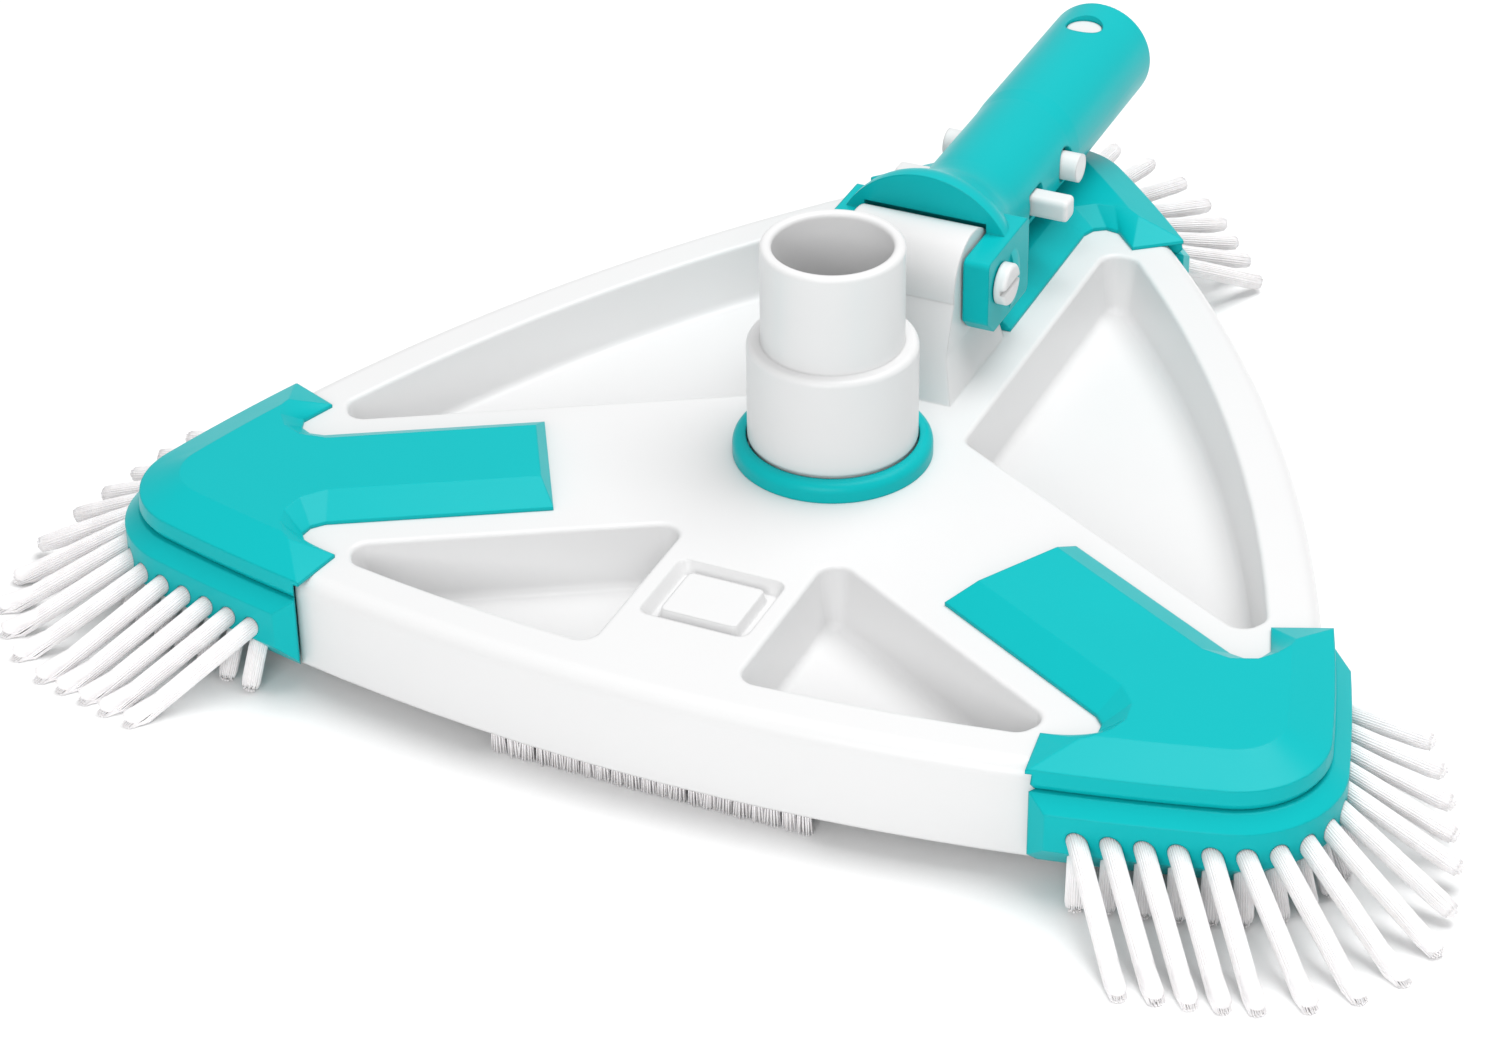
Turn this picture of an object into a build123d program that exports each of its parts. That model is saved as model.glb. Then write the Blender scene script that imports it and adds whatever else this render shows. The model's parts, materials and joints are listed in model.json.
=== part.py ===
from build123d import *
from math import cos, radians, sin
import os

os.makedirs("parts", exist_ok=True)

# Triangular pool vacuum head. Z = 0 is the deck (top face of the shell), +Y points to the handle.

# shell plan: three shallow arcs, three corners
SIDE_RADIUS = 450.0
SIDE_DISTANCE = 100.5
SIDE_CENTRE = SIDE_RADIUS - SIDE_DISTANCE
SHELL_HEIGHT = 22.0
DECK = 3.0
WALL = 6.5
NOSE_RADIUS = 18.1
EDGE_ROUND = 4.0
CORNERS = [("rear", 90), ("left", 210), ("right", 330)]
SIDES = [("front", 270), ("right_side", 30), ("left_side", 150)]

# pockets in the deck
POCKET_DEPTH = 15.0
POCKET_SKIN = 2.5
WEB_HALF = 25.5
POCKET_RIM = 11.5
POCKET_END = 107.5
POCKET_CORNER = 4.2
POCKET_FLOOR = 2.2
POCKET_DRAFT = 7
ISLAND_HALF = 16.5
RECESS_CENTRE = 63.7

# corner zone, where cap and brush holder wrap the shell
ZONE_START = 119.6
ZONE_HALF = 41.2
ZONE_STEP = -3.5
CAP_HEIGHT = 4.6
CAP_SKIRT = 3.6
HOLDER_TOP = -3.8
HOLDER_FACE = 5.9
HOLDER_HALF = 40.9
SCREW_NEAR = 80.0
SCREW_FAR = 132.0

# nylon tufts
FLOOR = -28.5
TUFT_RADIUS = 2.15
TUFT_PITCH = 6.7
TUFTS_EACH_SIDE = 7
FAN_ANGLE = 22.0
STRIP_HALF = 38.0
STRIP_NEAR = 94.8
STRIP_FAR = 98.0
STRIP_DEPTH = 4.0

# hose connector
HOSE_LOWER = 19.05
HOSE_UPPER = 15.9
HOSE_NECK = 18.4
HOSE_BORE = 13.25
HOSE_SHOULDER = 28.6
HOSE_TOP = 52.5
PORT_BORE = 19.4
FLANGE_RADIUS = 20.8
FLANGE_SEAT = 21.1
PORT_DEPTH = 9.5
COLLAR_RADIUS = 22.4
COLLAR_HEIGHT = 4.5

# handle and its pivot
PIVOT_Y = 46.5
PIVOT_Z = 23.0
PIVOT_SHANK = 3.0
PIVOT_HOLE = 3.05
KNUCKLE = 11.3
CHEEK_IN = 15.0
CHEEK_OUT = 21.2
CHEEK_BOTTOM = 11.7
CHEEK_FRONT = 39.3
CHEEK_BACK = 64.5
BELL_START = 53.0
CHEEK_TOP = 31.0
BELL_RADIUS = 22.4
TUBE_Z = 20.0
TUBE_RADIUS = 13.6
TUBE_RELIEF = 0.25
TUBE_BORE = 11.4
TUBE_END = 170.0
PILOT_START = 118.5
BORE_START = 83.5
LEG_START = 86.0
CLIP_HINGE_Y = 154.5
BUTTON_Y = 157.5
BUTTON_RADIUS = 4.3
LEG_IN = 7.6
LEG_OUT = 10.1
LEG_HALF = 4.0
PIN_Y = 110.0
PIN_RADIUS = 3.5
TAB_Y = 90.0
TAB_HALF = 2.8


def frame_at(angle, height):
    """Plane at a height whose X points along a corner or side direction."""
    return Plane(
        origin=(0, 0, height),
        x_dir=(cos(radians(angle)), sin(radians(angle)), 0),
        z_dir=(0, 0, 1),
    )


def lens(offset_out):
    """Corner outline, parallel to the two shell sides that meet there, rounded at the nose."""
    back = SIDE_CENTRE * cos(radians(60))
    across = SIDE_CENTRE * sin(radians(60))
    with BuildSketch(mode=Mode.PRIVATE) as outline:
        with Locations((-back, -across)):
            Circle(SIDE_RADIUS + offset_out)
        with Locations((-back, across)):
            Circle(SIDE_RADIUS + offset_out, mode=Mode.INTERSECT)
        with Locations((140, 0)):
            Rectangle(170, 170, mode=Mode.INTERSECT)
        fillet(outline.vertices().sort_by(Axis.X)[-1], NOSE_RADIUS + offset_out)
    return outline.sketch


def shell_outline(offset_out):
    """Whole shell outline, the overlap of three large circles."""
    with BuildSketch(mode=Mode.PRIVATE) as outline:
        for index, (_, angle) in enumerate(SIDES):
            centre = (-SIDE_CENTRE * cos(radians(angle)), -SIDE_CENTRE * sin(radians(angle)))
            with Locations(centre):
                Circle(SIDE_RADIUS + offset_out, mode=Mode.ADD if index == 0 else Mode.INTERSECT)
    return outline.sketch


def pocket_outline(lower_t, upper_t, grow=0.0):
    """Pocket between two webs, in the side's own frame, kept between two tangential limits."""
    web = WEB_HALF - grow
    end = POCKET_END + grow
    apex = web / sin(radians(60))
    end_n = end * cos(radians(60)) + web * sin(radians(60))
    end_t = end * sin(radians(60)) - web * cos(radians(60))
    out_n = end_n + 26 * sin(radians(60))
    out_t = end_t - 26 * cos(radians(60))
    with BuildSketch(mode=Mode.PRIVATE) as outline:
        Polygon(
            (apex, 0), (end_n, -end_t), (out_n, -out_t), (out_n, out_t), (end_n, end_t),
            align=None,
        )
        with Locations((-SIDE_CENTRE, 0)):
            Circle(SIDE_RADIUS - POCKET_RIM + grow, mode=Mode.INTERSECT)
        with Locations((60, (lower_t + upper_t) / 2)):
            Rectangle(120, upper_t - lower_t + 2 * grow, mode=Mode.INTERSECT)
        fillet(outline.vertices(), POCKET_CORNER)
    return outline.sketch


def inside_rim(edge):
    """True for an edge lying inside the pockets' outer limit, not on the shell's own border."""
    gap = []
    for _, angle in SIDES:
        x = edge.center().X + SIDE_CENTRE * cos(radians(angle))
        y = edge.center().Y + SIDE_CENTRE * sin(radians(angle))
        gap.append(SIDE_RADIUS - (x**2 + y**2) ** 0.5)
    return min(gap) > POCKET_RIM - 1.5


def arc_point(length):
    """Point on the brush holder's face at a distance round the corner from the nose."""
    nose = NOSE_RADIUS + HOLDER_FACE
    reach = SIDE_RADIUS - NOSE_RADIUS
    across = SIDE_CENTRE * sin(radians(60))
    back = SIDE_CENTRE * cos(radians(60))
    nose_x = (reach**2 - across**2) ** 0.5 - back
    tangent = 44.5
    side = 1 if length >= 0 else -1
    angle = abs(length) / nose * 57.2958
    if angle <= tangent:
        return (nose_x + nose * cos(radians(angle)), side * nose * sin(radians(angle)))
    rest = (abs(length) - nose * radians(tangent)) / (SIDE_RADIUS + HOLDER_FACE) * 57.2958
    turn = radians(tangent + rest)
    radius = SIDE_RADIUS + HOLDER_FACE
    return (radius * cos(turn) - back, side * (radius * sin(turn) - across))


def splay(corner, index):
    """Heading, reach and tip height of a splayed tuft. Those facing the handle end lie flatter."""
    heading = FAN_ANGLE * max(-1.0, min(1.0, index / 3.0))
    share = abs(index) / TUFTS_EACH_SIDE
    if corner == 90:
        return heading * (1 + 0.45 * share), 25.0, FLOOR + 14.0 - 10.5 * share
    flat = share if (index > 0) == (corner == 330) else 0.0
    return heading * (1 + 0.64 * flat), 28.0 - 12.0 * flat, FLOOR + 13.0 * flat


def tuft_planes(corner, grow):
    """Root plane and length of every tuft in one holder: splayed row, then steep row."""
    planes = []
    turn = radians(corner)
    for index in range(-TUFTS_EACH_SIDE, TUFTS_EACH_SIDE + 1):
        x, y = arc_point(index * TUFT_PITCH)
        fan, out, tip = splay(corner, index)
        face = radians(44.5 * max(-1.0, min(1.0, index / 2.8)))
        rows = [(radians(fan), out, -12.6, tip, 0.0, 5.0), (face, 5.0, -15.6, FLOOR, -2.9, 0.0)]
        for heading, reach, top, bottom, inset, buried in rows:
            drop = bottom - top
            length = (reach**2 + drop**2) ** 0.5
            unit = (reach * cos(heading) / length, reach * sin(heading) / length, drop / length)
            root_x = x + inset * cos(face) - buried * unit[0]
            root_y = y + inset * sin(face) - buried * unit[1]
            root_z = top - buried * unit[2]
            origin = (
                root_x * cos(turn) - root_y * sin(turn),
                root_x * sin(turn) + root_y * cos(turn),
                root_z,
            )
            z_dir = (
                unit[0] * cos(turn) - unit[1] * sin(turn),
                unit[0] * sin(turn) + unit[1] * cos(turn),
                unit[2],
            )
            planes.append((Plane(origin=origin, z_dir=z_dir), length + buried + grow))
    return planes


# ---------------------------------------------------------------- shell
with BuildPart() as body_shell:
    with BuildSketch(Plane.XY.offset(-SHELL_HEIGHT)):
        add(shell_outline(0))
    extrude(amount=SHELL_HEIGHT)
    for _, corner in CORNERS:
        with BuildSketch(frame_at(corner, -SHELL_HEIGHT)):
            with Locations((ZONE_START + 30, 0)):
                Rectangle(60, 130)
            add(lens(ZONE_STEP), mode=Mode.SUBTRACT)
        extrude(amount=SHELL_HEIGHT, mode=Mode.SUBTRACT)
    side_edges = body_shell.edges().filter_by(GeomType.CIRCLE).filter_by(lambda e: e.length > 120)
    fillet(side_edges.group_by(Axis.Z)[-1], EDGE_ROUND)
    # suction chamber, open underneath
    with BuildSketch(Plane.XY.offset(-SHELL_HEIGHT)):
        add(shell_outline(-WALL))
        for _, corner in CORNERS:
            with BuildSketch(mode=Mode.PRIVATE) as tip:
                with Locations((ZONE_START - 4 + 30, 0)):
                    Rectangle(60, 130)
                add(lens(-WALL + ZONE_STEP), mode=Mode.SUBTRACT)
            add(tip.sketch.rotate(Axis.Z, corner), mode=Mode.SUBTRACT)
    extrude(amount=SHELL_HEIGHT - DECK, mode=Mode.SUBTRACT)
    # pocket wells hang into the chamber
    for name, side in SIDES:
        limits = [(-200, 200)]
        if name == "front":
            limits = [(-200, -ISLAND_HALF), (ISLAND_HALF, 200)]
        for low, high in limits:
            with BuildSketch(frame_at(side, -POCKET_DEPTH - POCKET_SKIN)):
                add(pocket_outline(low, high, POCKET_SKIN))
            extrude(amount=POCKET_DEPTH + POCKET_SKIN - DECK / 2)
            with BuildSketch(frame_at(side, 0)):
                add(pocket_outline(low, high))
            extrude(amount=-POCKET_DEPTH, taper=POCKET_DRAFT, mode=Mode.SUBTRACT)
    floors = body_shell.edges().filter_by_position(Axis.Z, -POCKET_DEPTH - 0.01, -POCKET_DEPTH + 0.01)
    fillet(floors, POCKET_FLOOR)
    rims = body_shell.edges().filter_by_position(Axis.Z, -0.01, 0.01).filter_by(inside_rim)
    fillet(rims, 1.0)
    # hose port boss, flange seat and bore
    with BuildSketch(Plane.XY.offset(-PORT_DEPTH)):
        Circle(25)
    extrude(amount=PORT_DEPTH - 1)
    with BuildSketch(Plane.XY.offset(-DECK)):
        Circle(FLANGE_SEAT)
    extrude(amount=DECK, mode=Mode.SUBTRACT)
    with BuildSketch(Plane.XY.offset(-PORT_DEPTH)):
        Circle(PORT_BORE)
    extrude(amount=PORT_DEPTH, mode=Mode.SUBTRACT)
    # square recess with a raised plateau on the front island, thickened underneath
    with BuildSketch(frame_at(270, -DECK - 2.6)):
        with Locations((RECESS_CENTRE, 0)):
            Rectangle(26, 2 * ISLAND_HALF - 4)
    extrude(amount=2.8)
    with BuildSketch(frame_at(270, 0)):
        with Locations((RECESS_CENTRE, 0)):
            RectangleRounded(22, 25, 2.5)
    extrude(amount=-3.0, taper=25, mode=Mode.SUBTRACT)
    with BuildSketch(frame_at(270, -3.2)):
        with Locations((RECESS_CENTRE, 0)):
            RectangleRounded(16.4, 19, 2.0)
    extrude(amount=2.7, taper=15)
    # pedestal for the handle
    with BuildSketch(Plane.YZ):
        Polygon(
            (26.5, -1), (PIVOT_Y - KNUCKLE, PIVOT_Z - 1.5), (PIVOT_Y, PIVOT_Z),
            (PIVOT_Y + KNUCKLE, PIVOT_Z - 1.5), (60.5, -1), align=None,
        )
        with Locations((PIVOT_Y, PIVOT_Z)):
            Circle(KNUCKLE)
    pedestal = extrude(amount=17.5, both=True, mode=Mode.PRIVATE)
    with BuildSketch(Plane.XZ.offset(-70)) as front_view:
        Polygon(
            (-17.5, -1), (-14.65, 10), (-14.3, 40), (14.3, 40), (14.65, 10), (17.5, -1),
            align=None,
        )
    draft = extrude(amount=50, mode=Mode.PRIVATE)
    add(pedestal & draft)
    with BuildSketch(Plane.YZ.offset(-30)):
        with Locations((PIVOT_Y, PIVOT_Z)):
            Circle(PIVOT_HOLE)
    extrude(amount=60, mode=Mode.SUBTRACT)
    # grooves for the straight brush strips
    for _, side in SIDES:
        with BuildSketch(frame_at(side, -SHELL_HEIGHT)):
            with Locations(((STRIP_NEAR + STRIP_FAR) / 2, 0)):
                Rectangle(STRIP_FAR - STRIP_NEAR, 2 * STRIP_HALF)
        extrude(amount=STRIP_DEPTH, mode=Mode.SUBTRACT)
    # cap screw holes through the deck
    for _, corner in CORNERS:
        with BuildSketch(frame_at(corner, -DECK)):
            with Locations((SCREW_NEAR, 0), (SCREW_FAR, 0)):
                Circle(1.7)
        extrude(amount=DECK, mode=Mode.SUBTRACT)
body_shell.part.label = "body_shell"
export_step(body_shell.part, "parts/body_shell.step")

# ---------------------------------------------------------------- corner caps
CAP_BASE = [
    (63.3, 17.8), (112.8, 17.8), (116.0, 19.0), (117.8, 21.6), (117.3, 25.0), (110.9, 30.8),
    (119.2, 41.6),
]
CAP_TOP = [
    (65.5, 10.6), (112.0, 10.6), (118.0, 13.0), (121.5, 17.5), (122.3, 22.0), (121.7, 28.5),
    (124.0, 32.0),
]


def arrow(points):
    """Closed arrow outline from one half."""
    far = [(175, points[-1][1])]
    half = points + far
    return half + [(x, -y) for x, y in reversed(half)]


for name, corner in CORNERS:
    with BuildPart() as cap:
        with BuildSketch(frame_at(corner, -CAP_SKIRT)):
            with Locations((ZONE_START + 0.3 + 30, 0)):
                Rectangle(60, 2 * ZONE_HALF)
        extrude(amount=CAP_SKIRT)
        with BuildSketch(frame_at(corner, 0)):
            Polygon(*arrow(CAP_BASE), align=None)
        extrude(amount=0.8)
        with BuildSketch(frame_at(corner, 0.8)):
            Polygon(*arrow(CAP_BASE), align=None)
        with BuildSketch(frame_at(corner, CAP_HEIGHT)):
            Polygon(*arrow(CAP_TOP), align=None)
        loft(ruled=True)
        for height, out in [(-CAP_SKIRT, 1.6), (-2.2, 2.4), (1.0, 2.0), (CAP_HEIGHT, -7.1)]:
            with BuildSketch(frame_at(corner, height)):
                add(lens(out))
        loft(ruled=True, mode=Mode.INTERSECT)
        with BuildSketch(frame_at(corner, -CAP_SKIRT)):
            add(lens(ZONE_STEP + 0.3))
        extrude(amount=CAP_SKIRT, mode=Mode.SUBTRACT)
        with BuildSketch(frame_at(corner, 0)):
            with Locations((SCREW_NEAR, 0), (SCREW_FAR, 0)):
                Circle(1.35)
        extrude(amount=3.4, mode=Mode.SUBTRACT)
    cap.part.label = "cap_" + name
    export_step(cap.part, "parts/cap_" + name + ".step")

with BuildPart() as cap_screws:
    for _, corner in CORNERS:
        with BuildSketch(frame_at(corner, -DECK - 2.0)):
            with Locations((SCREW_NEAR, 0), (SCREW_FAR, 0)):
                Circle(2.9)
        extrude(amount=2.0)
        with BuildSketch(frame_at(corner, -DECK)):
            with Locations((SCREW_NEAR, 0), (SCREW_FAR, 0)):
                Circle(1.4)
        extrude(amount=DECK + 3.2)
        with BuildSketch(frame_at(corner, -DECK - 2.0)):
            with Locations((SCREW_NEAR, 0), (SCREW_FAR, 0)):
                Rectangle(4.0, 0.8)
                Rectangle(0.8, 4.0)
        extrude(amount=1.0, mode=Mode.SUBTRACT)
cap_screws.part.label = "cap_screws"
export_step(cap_screws.part, "parts/cap_screws.step")

# ---------------------------------------------------------------- brush holders and tufts
for name, corner in CORNERS:
    with BuildPart() as holder:
        sections = [
            (-SHELL_HEIGHT, 0.6), (-15.5, HOLDER_FACE), (-6.7, HOLDER_FACE), (HOLDER_TOP, 2.6),
        ]
        for low, high in zip(sections, sections[1:]):
            for height, out in [low, high]:
                with BuildSketch(frame_at(corner, height)):
                    add(lens(out))
            loft(ruled=True)
        with BuildSketch(frame_at(corner, -SHELL_HEIGHT)):
            with Locations((ZONE_START + 0.3 + 30, 0)):
                Rectangle(60, 2 * HOLDER_HALF)
        extrude(amount=SHELL_HEIGHT, mode=Mode.INTERSECT)
        with BuildSketch(frame_at(corner, -SHELL_HEIGHT)):
            add(lens(ZONE_STEP + 0.3))
        extrude(amount=SHELL_HEIGHT, mode=Mode.SUBTRACT)
        for plane, length in tuft_planes(corner, 0.0):
            with BuildSketch(plane):
                Circle(TUFT_RADIUS - 0.05)
            extrude(amount=length, mode=Mode.SUBTRACT)
    holder.part.label = "holder_" + name
    export_step(holder.part, "parts/holder_" + name + ".step")

    with BuildPart() as bristles:
        for plane, length in tuft_planes(corner, 4.0):
            with BuildSketch(plane):
                Circle(TUFT_RADIUS)
            extrude(amount=length)
        with BuildSketch(Plane.XY.offset(FLOOR)):
            Rectangle(500, 500)
        extrude(amount=-20, mode=Mode.SUBTRACT)
    bristles.part.label = "bristles_" + name
    export_step(bristles.part, "parts/bristles_" + name + ".step")

# ---------------------------------------------------------------- straight brush strips
for name, side in SIDES:
    middle = (STRIP_NEAR + STRIP_FAR) / 2
    with BuildPart() as strip_base:
        with BuildSketch(frame_at(side, -SHELL_HEIGHT)):
            with Locations((middle, 0)):
                Rectangle(STRIP_FAR - STRIP_NEAR - 0.2, 2 * STRIP_HALF - 0.4)
        extrude(amount=STRIP_DEPTH - 0.1)
        with BuildSketch(frame_at(side, -SHELL_HEIGHT)):
            with Locations((middle, 0)):
                Rectangle(1.6, 2 * STRIP_HALF - 3.0)
        extrude(amount=2.5, mode=Mode.SUBTRACT)
    strip_base.part.label = "strip_base_" + name
    export_step(strip_base.part, "parts/strip_base_" + name + ".step")

    with BuildPart() as strip_bristles:
        with BuildSketch(frame_at(side, FLOOR)):
            with Locations((middle, 0)):
                Rectangle(2.6, 2 * STRIP_HALF - 2.0)
        extrude(amount=-FLOOR - SHELL_HEIGHT)
        with BuildSketch(frame_at(side, -SHELL_HEIGHT)):
            with Locations((middle, 0)):
                Rectangle(1.6, 2 * STRIP_HALF - 3.0)
        extrude(amount=2.5)
    strip_bristles.part.label = "strip_bristles_" + name
    export_step(strip_bristles.part, "parts/strip_bristles_" + name + ".step")

# ---------------------------------------------------------------- hose connector
with BuildPart() as hose_connector:
    with BuildSketch(Plane.XZ):
        with BuildLine():
            Polyline(
                (HOSE_BORE, -PORT_DEPTH), (HOSE_NECK, -PORT_DEPTH),
                (HOSE_NECK, -7.1), (17.05, -7.1), (17.05, -4.9), (HOSE_NECK, -4.9),
                (HOSE_NECK, -2.7), (FLANGE_RADIUS, -2.7), (FLANGE_RADIUS, -0.3),
                (HOSE_NECK, -0.3), (HOSE_NECK, COLLAR_HEIGHT + 0.3),
                (HOSE_LOWER, COLLAR_HEIGHT + 0.3), (HOSE_LOWER, HOSE_SHOULDER),
                (HOSE_UPPER, HOSE_SHOULDER),
                (HOSE_UPPER, HOSE_TOP), (HOSE_BORE, HOSE_TOP), (HOSE_BORE, -PORT_DEPTH),
            )
        make_face()
    revolve(axis=Axis.Z)
    rims = hose_connector.edges().filter_by(GeomType.CIRCLE)
    fillet(rims.filter_by_position(Axis.Z, HOSE_TOP - 0.1, HOSE_TOP + 0.1), 1.1)
    shoulder = hose_connector.edges().filter_by(GeomType.CIRCLE)
    shoulder = shoulder.filter_by_position(Axis.Z, HOSE_SHOULDER - 0.1, HOSE_SHOULDER + 0.1)
    fillet(shoulder.sort_by(SortBy.RADIUS)[-1], 1.4)
hose_connector.part.label = "hose_connector"
export_step(hose_connector.part, "parts/hose_connector.step")

with BuildPart() as connector_collar:
    with BuildSketch(Plane.XZ):
        with Locations(((HOSE_LOWER + 0.3 + COLLAR_RADIUS) / 2, COLLAR_HEIGHT / 2)):
            Rectangle(COLLAR_RADIUS - HOSE_LOWER - 0.3, COLLAR_HEIGHT)
    revolve(axis=Axis.Z)
    fillet(connector_collar.edges().group_by(Axis.Z)[-1].sort_by(SortBy.RADIUS)[-1], 2.2)
connector_collar.part.label = "connector_collar"
export_step(connector_collar.part, "parts/connector_collar.step")

with BuildPart() as connector_o_ring:
    with BuildSketch(Plane.XZ):
        with Locations((18.1, -6.0)):
            Circle(1.0)
    revolve(axis=Axis.Z)
connector_o_ring.part.label = "connector_o_ring"
export_step(connector_o_ring.part, "parts/connector_o_ring.step")

# ---------------------------------------------------------------- handle
with BuildPart() as handle:
    with BuildSketch(Plane.XY.offset(TUBE_Z)):
        with BuildLine():
            Polyline((0, BELL_START), (BELL_RADIUS, BELL_START), (BELL_RADIUS, BELL_START + 1.5))
            Spline(
                (BELL_RADIUS, BELL_START + 1.5), (20.4, 60.5), (16.6, 67.5), (TUBE_RADIUS - TUBE_RELIEF, 80),
                tangents=[(0, 1), (0, 1)],
            )
            Polyline(
                (TUBE_RADIUS - TUBE_RELIEF, 80), (TUBE_RADIUS - TUBE_RELIEF, PILOT_START - 5),
                (TUBE_RADIUS, PILOT_START), (TUBE_RADIUS, TUBE_END), (0, TUBE_END), (0, BELL_START),
            )
        make_face()
    revolve(axis=Axis((0, 0, TUBE_Z), (0, 1, 0)))
    # slot between the cheeks, and the trimmed underside
    with BuildSketch(Plane.XY.offset(-10)):
        with Locations((0, 58)):
            Rectangle(60, 16)
    extrude(amount=CHEEK_BOTTOM + 10, mode=Mode.SUBTRACT)
    with BuildSketch(Plane.XY.offset(-10)):
        with Locations((0, 64)):
            Rectangle(60, 50)
    extrude(amount=16.2, mode=Mode.SUBTRACT)
    for start, end in [(CHEEK_IN, CHEEK_OUT), (-CHEEK_OUT, -CHEEK_IN)]:
        with BuildSketch(Plane.YZ.offset(start)) as cheek:
            Polygon(
                (CHEEK_FRONT, 15.5), (CHEEK_FRONT + 3.8, CHEEK_BOTTOM), (CHEEK_BACK, CHEEK_BOTTOM),
                (CHEEK_BACK, CHEEK_TOP), (CHEEK_FRONT, CHEEK_TOP), align=None,
            )
            fillet(cheek.vertices(), 1.6)
        extrude(amount=end - start)
    with BuildSketch(Plane.YZ):
        with Locations((PIVOT_Y, PIVOT_Z)):
            Circle(KNUCKLE + 0.9)
        with Locations((52, 6.5)):
            Rectangle(24.5, 33)
        with Locations((46.4, 15)):
            Rectangle(13.2, 40)
    extrude(amount=CHEEK_IN, both=True, mode=Mode.SUBTRACT)
    with BuildSketch(Plane.YZ.offset(-30)):
        with Locations((PIVOT_Y, PIVOT_Z)):
            Circle(PIVOT_HOLE)
    extrude(amount=60, mode=Mode.SUBTRACT)
    # bore for the clip and its windows
    with BuildSketch(Plane.XZ.offset(-TUBE_END)):
        with Locations((0, TUBE_Z)):
            Circle(TUBE_BORE)
    extrude(amount=TUBE_END - BORE_START, mode=Mode.SUBTRACT)
    with BuildSketch(Plane.XY.offset(TUBE_Z)):
        with Locations((0, BUTTON_Y)):
            Circle(BUTTON_RADIUS + 0.3)
    extrude(amount=20, mode=Mode.SUBTRACT)
    with BuildSketch(Plane.YZ.offset(-20)):
        with Locations((PIN_Y + 0.2, TUBE_Z)):
            Circle(PIN_RADIUS + 0.9)
        with Locations((TAB_Y + 0.3, TUBE_Z)):
            RectangleRounded(2 * TAB_HALF + 2.6, 2 * TAB_HALF + 1.0, 1.0)
    extrude(amount=40, mode=Mode.SUBTRACT)
    rim = handle.edges().filter_by(GeomType.CIRCLE).group_by(Axis.Y)[-1]
    fillet(rim, 0.6)
handle.part.label = "handle"
export_step(handle.part, "parts/handle.step")

# ---------------------------------------------------------------- spring clip
with BuildPart() as clip_bend:
    with BuildSketch(Plane.XY.offset(TUBE_Z - LEG_HALF)):
        with Locations((0, CLIP_HINGE_Y + 0.1)):
            Circle(LEG_OUT)
        with Locations((0, CLIP_HINGE_Y + 0.1 - 15)):
            Rectangle(40, 30, mode=Mode.SUBTRACT)
    extrude(amount=2 * LEG_HALF)
    with BuildSketch(Plane.XY.offset(TUBE_Z)):
        with Locations((0, BUTTON_Y)):
            Circle(BUTTON_RADIUS)
    extrude(amount=12.2)
    with BuildSketch(Plane.XY.offset(TUBE_Z)):
        Rectangle(60, 2 * (CLIP_HINGE_Y + 0.1))
    extrude(amount=30, mode=Mode.SUBTRACT)
clip_bend.part.label = "clip_bend"
export_step(clip_bend.part, "parts/clip_bend.step")

for name, side in [("right", 1), ("left", -1)]:
    with BuildPart() as clip_leg:
        with BuildSketch(Plane.XY.offset(TUBE_Z - LEG_HALF)):
            with Locations((side * (LEG_IN + LEG_OUT) / 2, (CLIP_HINGE_Y - 0.2 + LEG_START) / 2)):
                Rectangle(LEG_OUT - LEG_IN, CLIP_HINGE_Y - 0.2 - LEG_START)
        extrude(amount=2 * LEG_HALF)
        with BuildSketch(Plane.YZ.offset(side * (LEG_OUT - 0.5))):
            with Locations((PIN_Y, TUBE_Z)):
                Circle(PIN_RADIUS)
        extrude(amount=side * (TUBE_RADIUS + 3.6 - LEG_OUT + 0.5))
        with BuildSketch(Plane.YZ.offset(side * (LEG_OUT - 0.5))):
            with Locations((TAB_Y, TUBE_Z)):
                RectangleRounded(2 * TAB_HALF, 2 * TAB_HALF, 1.5)
        extrude(amount=side * (TUBE_RADIUS + 8.5 - LEG_OUT + 0.5))
        tips = clip_leg.faces().filter_by(Axis.X).sort_by(Axis.X)
        tip = tips[-1] if side > 0 else tips[0]
        fillet(tip.edges(), 1.0)
    clip_leg.part.label = "clip_leg_" + name
    export_step(clip_leg.part, "parts/clip_leg_" + name + ".step")

# ---------------------------------------------------------------- pivot bolt and nut
with BuildPart() as pivot_bolt:
    with BuildSketch(Plane.YZ.offset(-CHEEK_OUT - 5.0)):
        with Locations((PIVOT_Y, PIVOT_Z)):
            Circle(PIVOT_SHANK)
    extrude(amount=2 * CHEEK_OUT + 5.5)
    with BuildSketch(Plane.YZ.offset(CHEEK_OUT + 0.3)):
        with Locations((PIVOT_Y, PIVOT_Z)):
            Circle(4.9)
    extrude(amount=2.8)
    fillet(pivot_bolt.edges().group_by(Axis.X)[-1], 0.8)
    with BuildSketch(Plane.YZ.offset(CHEEK_OUT + 1.9)):
        with Locations((PIVOT_Y, PIVOT_Z)):
            Rectangle(12, 1.2)
    extrude(amount=2.0, mode=Mode.SUBTRACT)
pivot_bolt.part.label = "pivot_bolt"
export_step(pivot_bolt.part, "parts/pivot_bolt.step")

with BuildPart() as pivot_nut:
    with BuildSketch(Plane.YZ.offset(-CHEEK_OUT - 0.3)):
        with Locations((PIVOT_Y, PIVOT_Z)):
            RegularPolygon(5.2, 6)
            Circle(PIVOT_SHANK + 0.05, mode=Mode.SUBTRACT)
    extrude(amount=-4.0)
pivot_nut.part.label = "pivot_nut"
export_step(pivot_nut.part, "parts/pivot_nut.step")
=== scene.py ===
import json
import math
import random

import bmesh
import bpy
import numpy as np
from mathutils import Matrix, Vector


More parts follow.
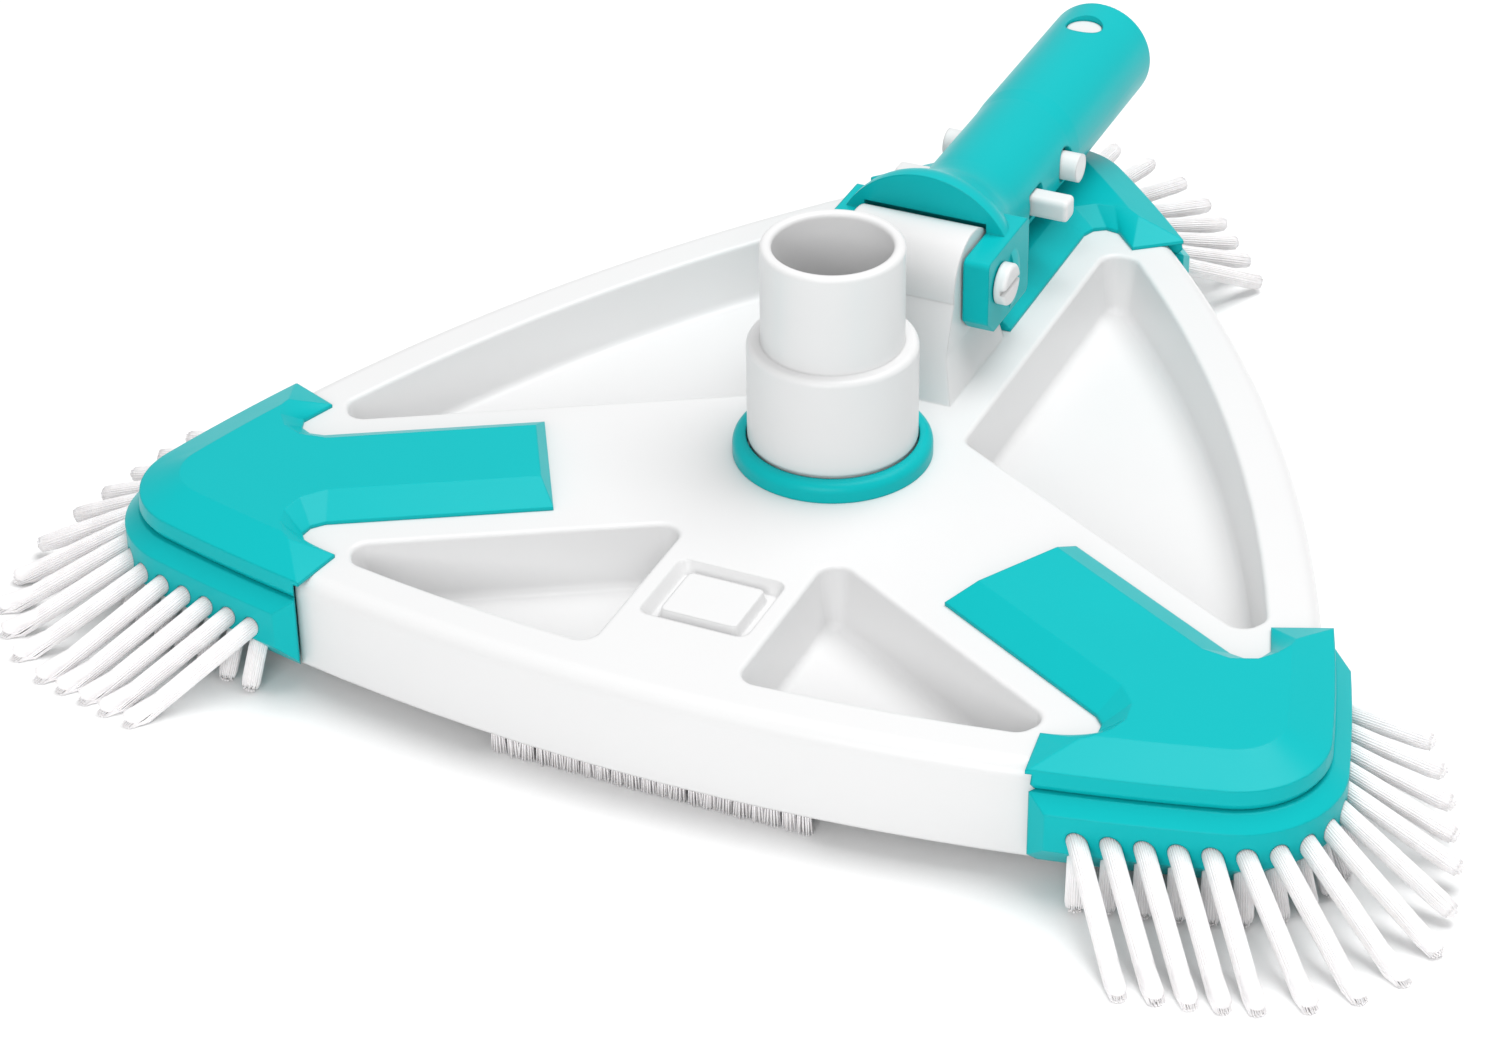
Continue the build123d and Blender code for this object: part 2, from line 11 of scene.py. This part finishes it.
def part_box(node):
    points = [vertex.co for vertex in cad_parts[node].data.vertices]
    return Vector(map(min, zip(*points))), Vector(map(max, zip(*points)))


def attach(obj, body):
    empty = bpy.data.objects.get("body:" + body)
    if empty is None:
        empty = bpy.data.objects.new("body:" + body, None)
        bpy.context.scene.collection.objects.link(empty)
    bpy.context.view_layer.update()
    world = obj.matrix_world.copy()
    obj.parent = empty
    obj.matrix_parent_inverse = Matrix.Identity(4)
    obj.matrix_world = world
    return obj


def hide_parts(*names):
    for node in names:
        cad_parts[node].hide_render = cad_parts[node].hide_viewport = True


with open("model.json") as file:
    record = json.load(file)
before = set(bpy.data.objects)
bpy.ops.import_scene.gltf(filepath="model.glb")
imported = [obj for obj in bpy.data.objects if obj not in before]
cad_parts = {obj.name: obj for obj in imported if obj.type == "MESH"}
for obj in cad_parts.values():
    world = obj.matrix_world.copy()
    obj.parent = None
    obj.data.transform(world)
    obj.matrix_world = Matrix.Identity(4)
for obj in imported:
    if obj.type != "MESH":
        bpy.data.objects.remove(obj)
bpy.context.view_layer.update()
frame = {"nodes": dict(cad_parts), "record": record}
random.seed(7)
nodes = frame["nodes"]

# ------------------------------------------------------------------ camera
FOCAL_LENGTH = 94.08
CAMERA_PLACE = (0.2939, -0.6779, 0.4672)
AZIMUTH, ELEVATION, ROLL = 24.89, 33.43, -0.86

camera_data = bpy.data.cameras.new("photo_camera")
camera_data.lens = FOCAL_LENGTH
camera_data.sensor_width = 36.0
camera_data.clip_start = 0.01
camera = bpy.data.objects.new("photo_camera", camera_data)
bpy.context.collection.objects.link(camera)
azimuth, elevation, roll = (math.radians(angle) for angle in (AZIMUTH, ELEVATION, ROLL))
level = math.cos(elevation)
back = Vector((math.sin(azimuth) * level, -math.cos(azimuth) * level, math.sin(elevation)))
right = Vector((0, 0, 1)).cross(back).normalized()
up = back.cross(right)
right_rolled = right * math.cos(roll) + up * math.sin(roll)
up_rolled = up * math.cos(roll) - right * math.sin(roll)
turn = Matrix((right_rolled, up_rolled, back)).transposed().to_4x4()
camera.matrix_world = Matrix.Translation(CAMERA_PLACE) @ turn
bpy.context.scene.camera = camera
bpy.context.scene.view_settings.view_transform = "Standard"

# ------------------------------------------------------------------ materials


def new_material(name):
    material = bpy.data.materials.new(name)
    material.use_nodes = True
    tree = material.node_tree
    return material, tree, tree.nodes["Principled BSDF"]


def noise(tree, vector, scale, detail=4.0, rough=0.5, distortion=0.0):
    node = tree.nodes.new("ShaderNodeTexNoise")
    node.inputs["Scale"].default_value = scale
    node.inputs["Detail"].default_value = detail
    node.inputs["Roughness"].default_value = rough
    node.inputs["Distortion"].default_value = distortion
    tree.links.new(vector, node.inputs["Vector"])
    return node.outputs["Fac"]


def remap(tree, value, low, high, to_low, to_high):
    node = tree.nodes.new("ShaderNodeMapRange")
    node.inputs["From Min"].default_value = low
    node.inputs["From Max"].default_value = high
    node.inputs["To Min"].default_value = to_low
    node.inputs["To Max"].default_value = to_high
    tree.links.new(value, node.inputs["Value"])
    return node.outputs["Result"]


def mix_colour(tree, factor, first, second):
    node = tree.nodes.new("ShaderNodeMix")
    node.data_type = "RGBA"
    tree.links.new(factor, node.inputs["Factor"])
    for socket, colour in (("A", first), ("B", second)):
        target = [s for s in node.inputs if s.name == socket and s.type == "RGBA"][0]
        target.default_value = (*colour, 1.0)
    return [s for s in node.outputs if s.type == "RGBA"][0]


def stretched(tree, coordinates, scale, rotation):
    node = tree.nodes.new("ShaderNodeMapping")
    node.inputs["Scale"].default_value = scale
    node.inputs["Rotation"].default_value = rotation
    tree.links.new(coordinates, node.inputs["Vector"])
    return node.outputs["Vector"]


def object_coordinates(tree):
    return tree.nodes.new("ShaderNodeTexCoord").outputs["Object"]


def moulded_plastic(name, base, deep, roughness, shine, edge):
    """Injection-moulded plastic: faint flow marks, fine orange peel and edges softened by edge metres."""
    material, tree, shader = new_material(name)
    coordinates = object_coordinates(tree)
    drawn_out = stretched(tree, coordinates, (1.0, 1.6, 2.4), (0.2, 0.1, 0.5))
    flow = noise(tree, drawn_out, scale=14.0, detail=3.0, distortion=0.6)
    tone = mix_colour(tree, remap(tree, flow, 0.3, 0.7, 0.0, 1.0), deep, base)
    tree.links.new(tone, shader.inputs["Base Color"])
    haze = noise(tree, coordinates, scale=60.0, detail=3.0)
    sheen = remap(tree, haze, 0.3, 0.7, roughness - 0.025, roughness + 0.035)
    tree.links.new(sheen, shader.inputs["Roughness"])
    peel = noise(tree, coordinates, scale=1500.0, detail=2.0)
    wave = noise(tree, coordinates, scale=70.0, detail=1.0, rough=0.4)
    relief = tree.nodes.new("ShaderNodeMath")
    relief.operation = "MULTIPLY_ADD"
    tree.links.new(peel, relief.inputs[0])
    relief.inputs[1].default_value = 0.15
    tree.links.new(wave, relief.inputs[2])
    bump = tree.nodes.new("ShaderNodeBump")
    bump.inputs["Strength"].default_value = 0.05
    bump.inputs["Distance"].default_value = 0.0005
    tree.links.new(relief.outputs[0], bump.inputs["Height"])
    soft = tree.nodes.new("ShaderNodeBevel")
    soft.samples = 6
    soft.inputs["Radius"].default_value = edge
    tree.links.new(soft.outputs["Normal"], bump.inputs["Normal"])
    tree.links.new(bump.outputs["Normal"], shader.inputs["Normal"])
    shader.inputs["IOR"].default_value = 1.49
    shader.inputs["Specular IOR Level"].default_value = shine
    return material


def filament_material(name):
    """Drawn nylon: fine lengthwise streaks, slightly pink-white, a little light passing through."""
    material, tree, shader = new_material(name)
    coordinates = object_coordinates(tree)
    tint = remap(tree, noise(tree, coordinates, scale=260.0, detail=3.0, rough=0.6), 0.35, 0.65, 0.0, 1.0)
    tone = mix_colour(tree, tint, (0.84, 0.82, 0.825), (0.90, 0.885, 0.89))
    tree.links.new(tone, shader.inputs["Base Color"])
    drawn_out = stretched(tree, coordinates, (1.0, 1.0, 0.25), (0, 0, 0))
    streak = noise(tree, drawn_out, scale=2400.0, detail=3.0, rough=0.6)
    tree.links.new(remap(tree, streak, 0.3, 0.7, 0.32, 0.5), shader.inputs["Roughness"])
    bump = tree.nodes.new("ShaderNodeBump")
    bump.inputs["Strength"].default_value = 0.08
    bump.inputs["Distance"].default_value = 0.0001
    tree.links.new(streak, bump.inputs["Height"])
    tree.links.new(bump.outputs["Normal"], shader.inputs["Normal"])
    shader.inputs["Subsurface Weight"].default_value = 0.12
    shader.inputs["Subsurface Radius"].default_value = (0.0012, 0.0011, 0.001)
    return material


def rubber_material(name):
    """Black seal rubber with a little dust."""
    material, tree, shader = new_material(name)
    coordinates = object_coordinates(tree)
    dust = noise(tree, coordinates, scale=300.0, detail=5.0, rough=0.6)
    tone = mix_colour(tree, remap(tree, dust, 0.4, 0.7, 0.0, 1.0), (0.012, 0.012, 0.012), (0.04, 0.04, 0.04))
    tree.links.new(tone, shader.inputs["Base Color"])
    tree.links.new(remap(tree, dust, 0.3, 0.7, 0.55, 0.75), shader.inputs["Roughness"])
    return material


def steel_material(name):
    """Screw steel with fine turning marks."""
    material, tree, shader = new_material(name)
    coordinates = object_coordinates(tree)
    flattened = stretched(tree, coordinates, (1.0, 1.0, 14.0), (0, 0, 0))
    turned = noise(tree, flattened, scale=500.0, detail=5.0, rough=0.6)
    tone = mix_colour(tree, remap(tree, turned, 0.3, 0.7, 0.0, 1.0), (0.42, 0.42, 0.43), (0.62, 0.62, 0.63))
    tree.links.new(tone, shader.inputs["Base Color"])
    tree.links.new(remap(tree, turned, 0.3, 0.7, 0.25, 0.42), shader.inputs["Roughness"])
    shader.inputs["Metallic"].default_value = 1.0
    return material


teal = moulded_plastic(
    "teal_moulding", (0.003, 0.428, 0.447), (0.003, 0.418, 0.438), roughness=0.30, shine=0.10, edge=0.0007
)
white = moulded_plastic(
    "white_moulding", (0.725, 0.725, 0.726), (0.715, 0.715, 0.717), roughness=0.30, shine=0.35, edge=0.0009
)
nylon = filament_material("nylon_filament")
finishes = {
    "teal_plastic": teal,
    "white_plastic": white,
    "nylon": nylon,
    "rubber": rubber_material("seal_rubber"),
    "steel": steel_material("screw_steel"),
}
slots = {entry["node"]: entry["material_slot"] for entry in frame["record"]["subparts"]}
for name, item in nodes.items():
    item.data.materials.clear()
    item.data.materials.append(finishes[slots[name]])

# ------------------------------------------------------------------ bristles


def tube(verts, faces, path, radii, sides):
    """Adds a closed tube along a path of points, with one radius for each point."""
    start = len(verts)
    along = (path[-1] - path[0]).normalized()
    side = along.orthogonal().normalized()
    cross = along.cross(side)
    for point, radius in zip(path, radii):
        for index in range(sides):
            angle = 2 * math.pi * index / sides
            verts.append(point + (side * math.cos(angle) + cross * math.sin(angle)) * radius)
    rings = len(path)
    for ring in range(rings - 1):
        for index in range(sides):
            a = start + ring * sides + index
            b = start + ring * sides + (index + 1) % sides
            faces.append((a, b, b + sides, a + sides))
    faces.append(tuple(start + index for index in reversed(range(sides))))
    faces.append(tuple(start + (rings - 1) * sides + index for index in range(sides)))


def make_brush(name, verts, faces, body, replaced):
    """Makes one nylon piece that stands in for a CAD node. Sides are smooth and ends flat."""
    mesh = bpy.data.meshes.new(name)
    mesh.from_pydata([tuple(v) for v in verts], [], faces)
    mesh.update()
    for polygon in mesh.polygons:
        polygon.use_smooth = len(polygon.vertices) == 4
    piece = bpy.data.objects.new(name, mesh)
    bpy.context.collection.objects.link(piece)
    mesh.materials.append(nylon)
    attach(piece, body)
    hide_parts(replaced)


SAME_POINT = 1e-6


def rods(item):
    """Root and tip of each separate rod in a CAD node, with the tip at the lower end."""
    work = bmesh.new()
    work.from_mesh(item.data)
    bmesh.ops.remove_doubles(work, verts=work.verts, dist=SAME_POINT)
    seen = set()
    found = []
    for seed in work.verts:
        if seed in seen:
            continue
        stack, group = [seed], []
        seen.add(seed)
        while stack:
            vert = stack.pop()
            group.append(tuple(vert.co))
            for link in vert.link_edges:
                other = link.other_vert(vert)
                if other not in seen:
                    seen.add(other)
                    stack.append(other)
        points = np.array(group)
        centre = (points.max(axis=0) + points.min(axis=0)) / 2
        _, _, axes = np.linalg.svd(points - points.mean(axis=0), full_matrices=False)
        axis = axes[0] if axes[0][2] < 0 else -axes[0]
        reach = (points - centre) @ axis
        off = (points - centre) - np.outer(reach, axis)
        middle = centre + off.mean(axis=0)
        found.append((Vector(middle + axis * reach.min()), Vector(middle + axis * reach.max())))
    work.free()
    return found


# Sizes are in metres.
FILAMENT = 0.00022  # radius of one bristle
FILAMENT_SIDES = 6

CORE = 0.0019  # radius of the solid middle of a splayed tuft
CORE_ENDS = ((0.0032, 0.97), (0.0022, 0.80), (0.0015, 0.42))  # distance from the tip, share of CORE
CORE_SIDES = 20
OUTER_RING = 0.00188
# Rings of bristles round a tuft's middle: radius, number, and the share of the length where they start.
BUNDLE = [(OUTER_RING, 24, 0.0), (0.0012, 12, 0.88), (0.0006, 6, 0.88)]
TIP_GAP = 0.0009  # how far short of the rod's tip the middle bristles end
TIP_DOME = 0.0011  # how much shorter the outermost ring is
TIP_UNEVEN = 0.0005
TIP_NARROWING = 0.7  # a bristle's tip as a share of its radius
UNEVEN_PITCH = 0.15  # share of the pitch round a ring
LEAN = 0.0005  # how far a whole tuft's tip wanders
STRAY = 0.0001  # how far one bristle's tip wanders in its tuft
TAPER_START = 0.9
TAPER = 0.12  # how much of its distance from the axis a bristle loses towards the tip

STRIP_PITCH = 0.00345
STRIP_SPACING = 0.00028  # half the distance between two bristles along a straight brush
STRIP_FLATTENING = 0.62  # and across it, as a share of that along it
STRIP_TIP = 0.00018  # radius of a bristle's tip
STRIP_HEADING = 0.0004  # how far a whole tuft's end wanders along the brush
STRIP_STRAY = 0.0002
FAN_ACROSS, FAN_ALONG = 0.00010, 0.00014  # spread at the end for each unit of packing

# Places of close-packed bristles, in units of their radius: one in the middle and two hexagons round it.
PACKING = [(0.0, 0.0)]
for ring in (1, 2):
    for step in range(6 * ring):
        corner, part = divmod(step, ring)
        a, b = math.radians(60 * corner), math.radians(60 * (corner + 1))
        share = part / ring
        PACKING.append((
            2 * ring * (math.cos(a) * (1 - share) + math.cos(b) * share),
            2 * ring * (math.sin(a) * (1 - share) + math.sin(b) * share),
        ))
floor_z = min(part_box("bristles_rear")[0][2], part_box("bristles_left")[0][2])


def splayed_tuft(verts, faces, root, tip):
    """Adds one tuft of a corner brush: a solid middle ringed by bristles, with a domed end."""
    along = (tip - root).normalized()
    side = along.orthogonal().normalized()
    cross = along.cross(side)
    lean = Vector((random.uniform(-1, 1), random.uniform(-1, 1), 0)) * LEAN
    length = (tip - root).length
    ends = [1.0 - short / length for short, _ in CORE_ENDS]
    core = [root.lerp(tip, t) + lean * t * t for t in (0.0, 0.35, 0.7, *ends)]
    for point in core:
        point.z = max(point.z, floor_z + CORE)
    core_radii = [CORE] * 3 + [share * CORE for _, share in CORE_ENDS]
    tube(verts, faces, core, core_radii, CORE_SIDES)
    for distance, count, start in BUNDLE:
        for strand in range(count):
            angle = 2 * math.pi * (strand + random.uniform(-UNEVEN_PITCH, UNEVEN_PITCH)) / count
            offset = (side * math.cos(angle) + cross * math.sin(angle)) * distance
            stray = (side * random.uniform(-1, 1) + cross * random.uniform(-1, 1)) * STRAY
            dome = TIP_DOME * (distance / OUTER_RING) ** 2
            short = TIP_GAP + dome + random.uniform(0, TIP_UNEVEN)
            last = 1.0 - short / length
            path = []
            for share in (0.0, 0.35, 0.7, TAPER_START, 1.0):
                t = start + (last - start) * share
                narrow = 1.0 - TAPER * max(0.0, share - TAPER_START) / (1.0 - TAPER_START)
                point = root.lerp(tip, t) + offset * narrow + (stray + lean) * t * t
                point.z = max(point.z, floor_z + FILAMENT)
                path.append(point)
            tube(verts, faces, path, [FILAMENT] * 4 + [FILAMENT * TIP_NARROWING], FILAMENT_SIDES)


def straight_tuft(verts, faces, centre, out, along, low_z, high_z):
    """Adds one tuft of a straight brush: close-packed bristles that fan out a little downwards."""
    heading = random.uniform(-STRIP_HEADING, STRIP_HEADING)
    for x, y in PACKING:
        stem = centre + (out * x * STRIP_FLATTENING + along * y) * STRIP_SPACING
        top = Vector((stem.x, stem.y, high_z))
        splay = out * (x * FAN_ACROSS + random.uniform(-STRIP_STRAY, STRIP_STRAY))
        splay += along * (y * FAN_ALONG + heading + random.uniform(-STRIP_STRAY, STRIP_STRAY))
        bottom = Vector((stem.x, stem.y, low_z + random.uniform(0.0001, 0.0006))) + splay
        path = [top, top.lerp(bottom, 0.6), bottom]
        tube(verts, faces, path, [FILAMENT, FILAMENT, STRIP_TIP], FILAMENT_SIDES)


for corner in ("rear", "left", "right"):
    verts, faces = [], []
    for root, tip in rods(nodes["bristles_" + corner]):
        splayed_tuft(verts, faces, root, tip)
    make_brush("tufts_" + corner, verts, faces, "head", "bristles_" + corner)

for side_name, angle in (("front", 270), ("right_side", 30), ("left_side", 150)):
    node = "strip_bristles_" + side_name
    out = Vector((math.cos(math.radians(angle)), math.sin(math.radians(angle)), 0))
    along = Vector((-out.y, out.x, 0))
    points = np.array([tuple(v.co) for v in nodes[node].data.vertices])
    reach_out = points @ np.array(out)
    reach_along = points @ np.array(along)
    low_z, high_z = points[:, 2].min(), points[:, 2].max()
    verts, faces = [], []
    length = reach_along.max() - reach_along.min()
    count = int(length / STRIP_PITCH)
    for tuft in range(count):
        middle = reach_along.min() + (tuft + 0.5) / count * length
        centre = out * ((reach_out.max() + reach_out.min()) / 2) + along * middle
        straight_tuft(verts, faces, centre, out, along, low_z, high_z)
    make_brush("bristle_row_" + side_name, verts, faces, "head", node)

# ------------------------------------------------------------------ floor, world and light
FLOOR_REACH = 6.0
SKY_STRENGTH = 0.52

floor_mesh = bpy.data.meshes.new("floor")
floor_corners = [
    (x * FLOOR_REACH, y * FLOOR_REACH, floor_z) for x, y in ((-1, -1), (1, -1), (1, 1), (-1, 1))
]
floor_mesh.from_pydata(floor_corners, [], [(0, 1, 2, 3)])
floor = bpy.data.objects.new("floor", floor_mesh)
bpy.context.collection.objects.link(floor)
paper, paper_tree, paper_shader = new_material("pale_floor")
paper_noise = noise(paper_tree, object_coordinates(paper_tree), scale=900.0, rough=0.6)
paper_tone = mix_colour(paper_tree, paper_noise, (0.90, 0.90, 0.90), (0.93, 0.93, 0.93))
paper_tree.links.new(paper_tone, paper_shader.inputs["Base Color"])
paper_shader.inputs["Roughness"].default_value = 0.8
floor_mesh.materials.append(paper)

world = bpy.data.worlds.new("studio")
world.use_nodes = True
sky = world.node_tree.nodes["Background"]
sky.inputs["Color"].default_value = (1.0, 1.0, 1.0, 1.0)
sky.inputs["Strength"].default_value = SKY_STRENGTH
bpy.context.scene.world = world


def soft_box(name, place, size, power):
    """An area light that points at the origin."""
    data = bpy.data.lights.new(name, "AREA")
    data.shape = "RECTANGLE"
    data.size, data.size_y = size
    data.energy = power
    lamp = bpy.data.objects.new(name, data)
    lamp.location = place
    lamp.rotation_euler = (-Vector(place)).to_track_quat("-Z", "Y").to_euler()
    bpy.context.collection.objects.link(lamp)


soft_box("key", (0.25, 0.30, 1.30), size=(1.0, 1.0), power=15.5)
soft_box("front_fill", (0.25, -1.30, 0.60), size=(0.9, 0.6), power=9.0)
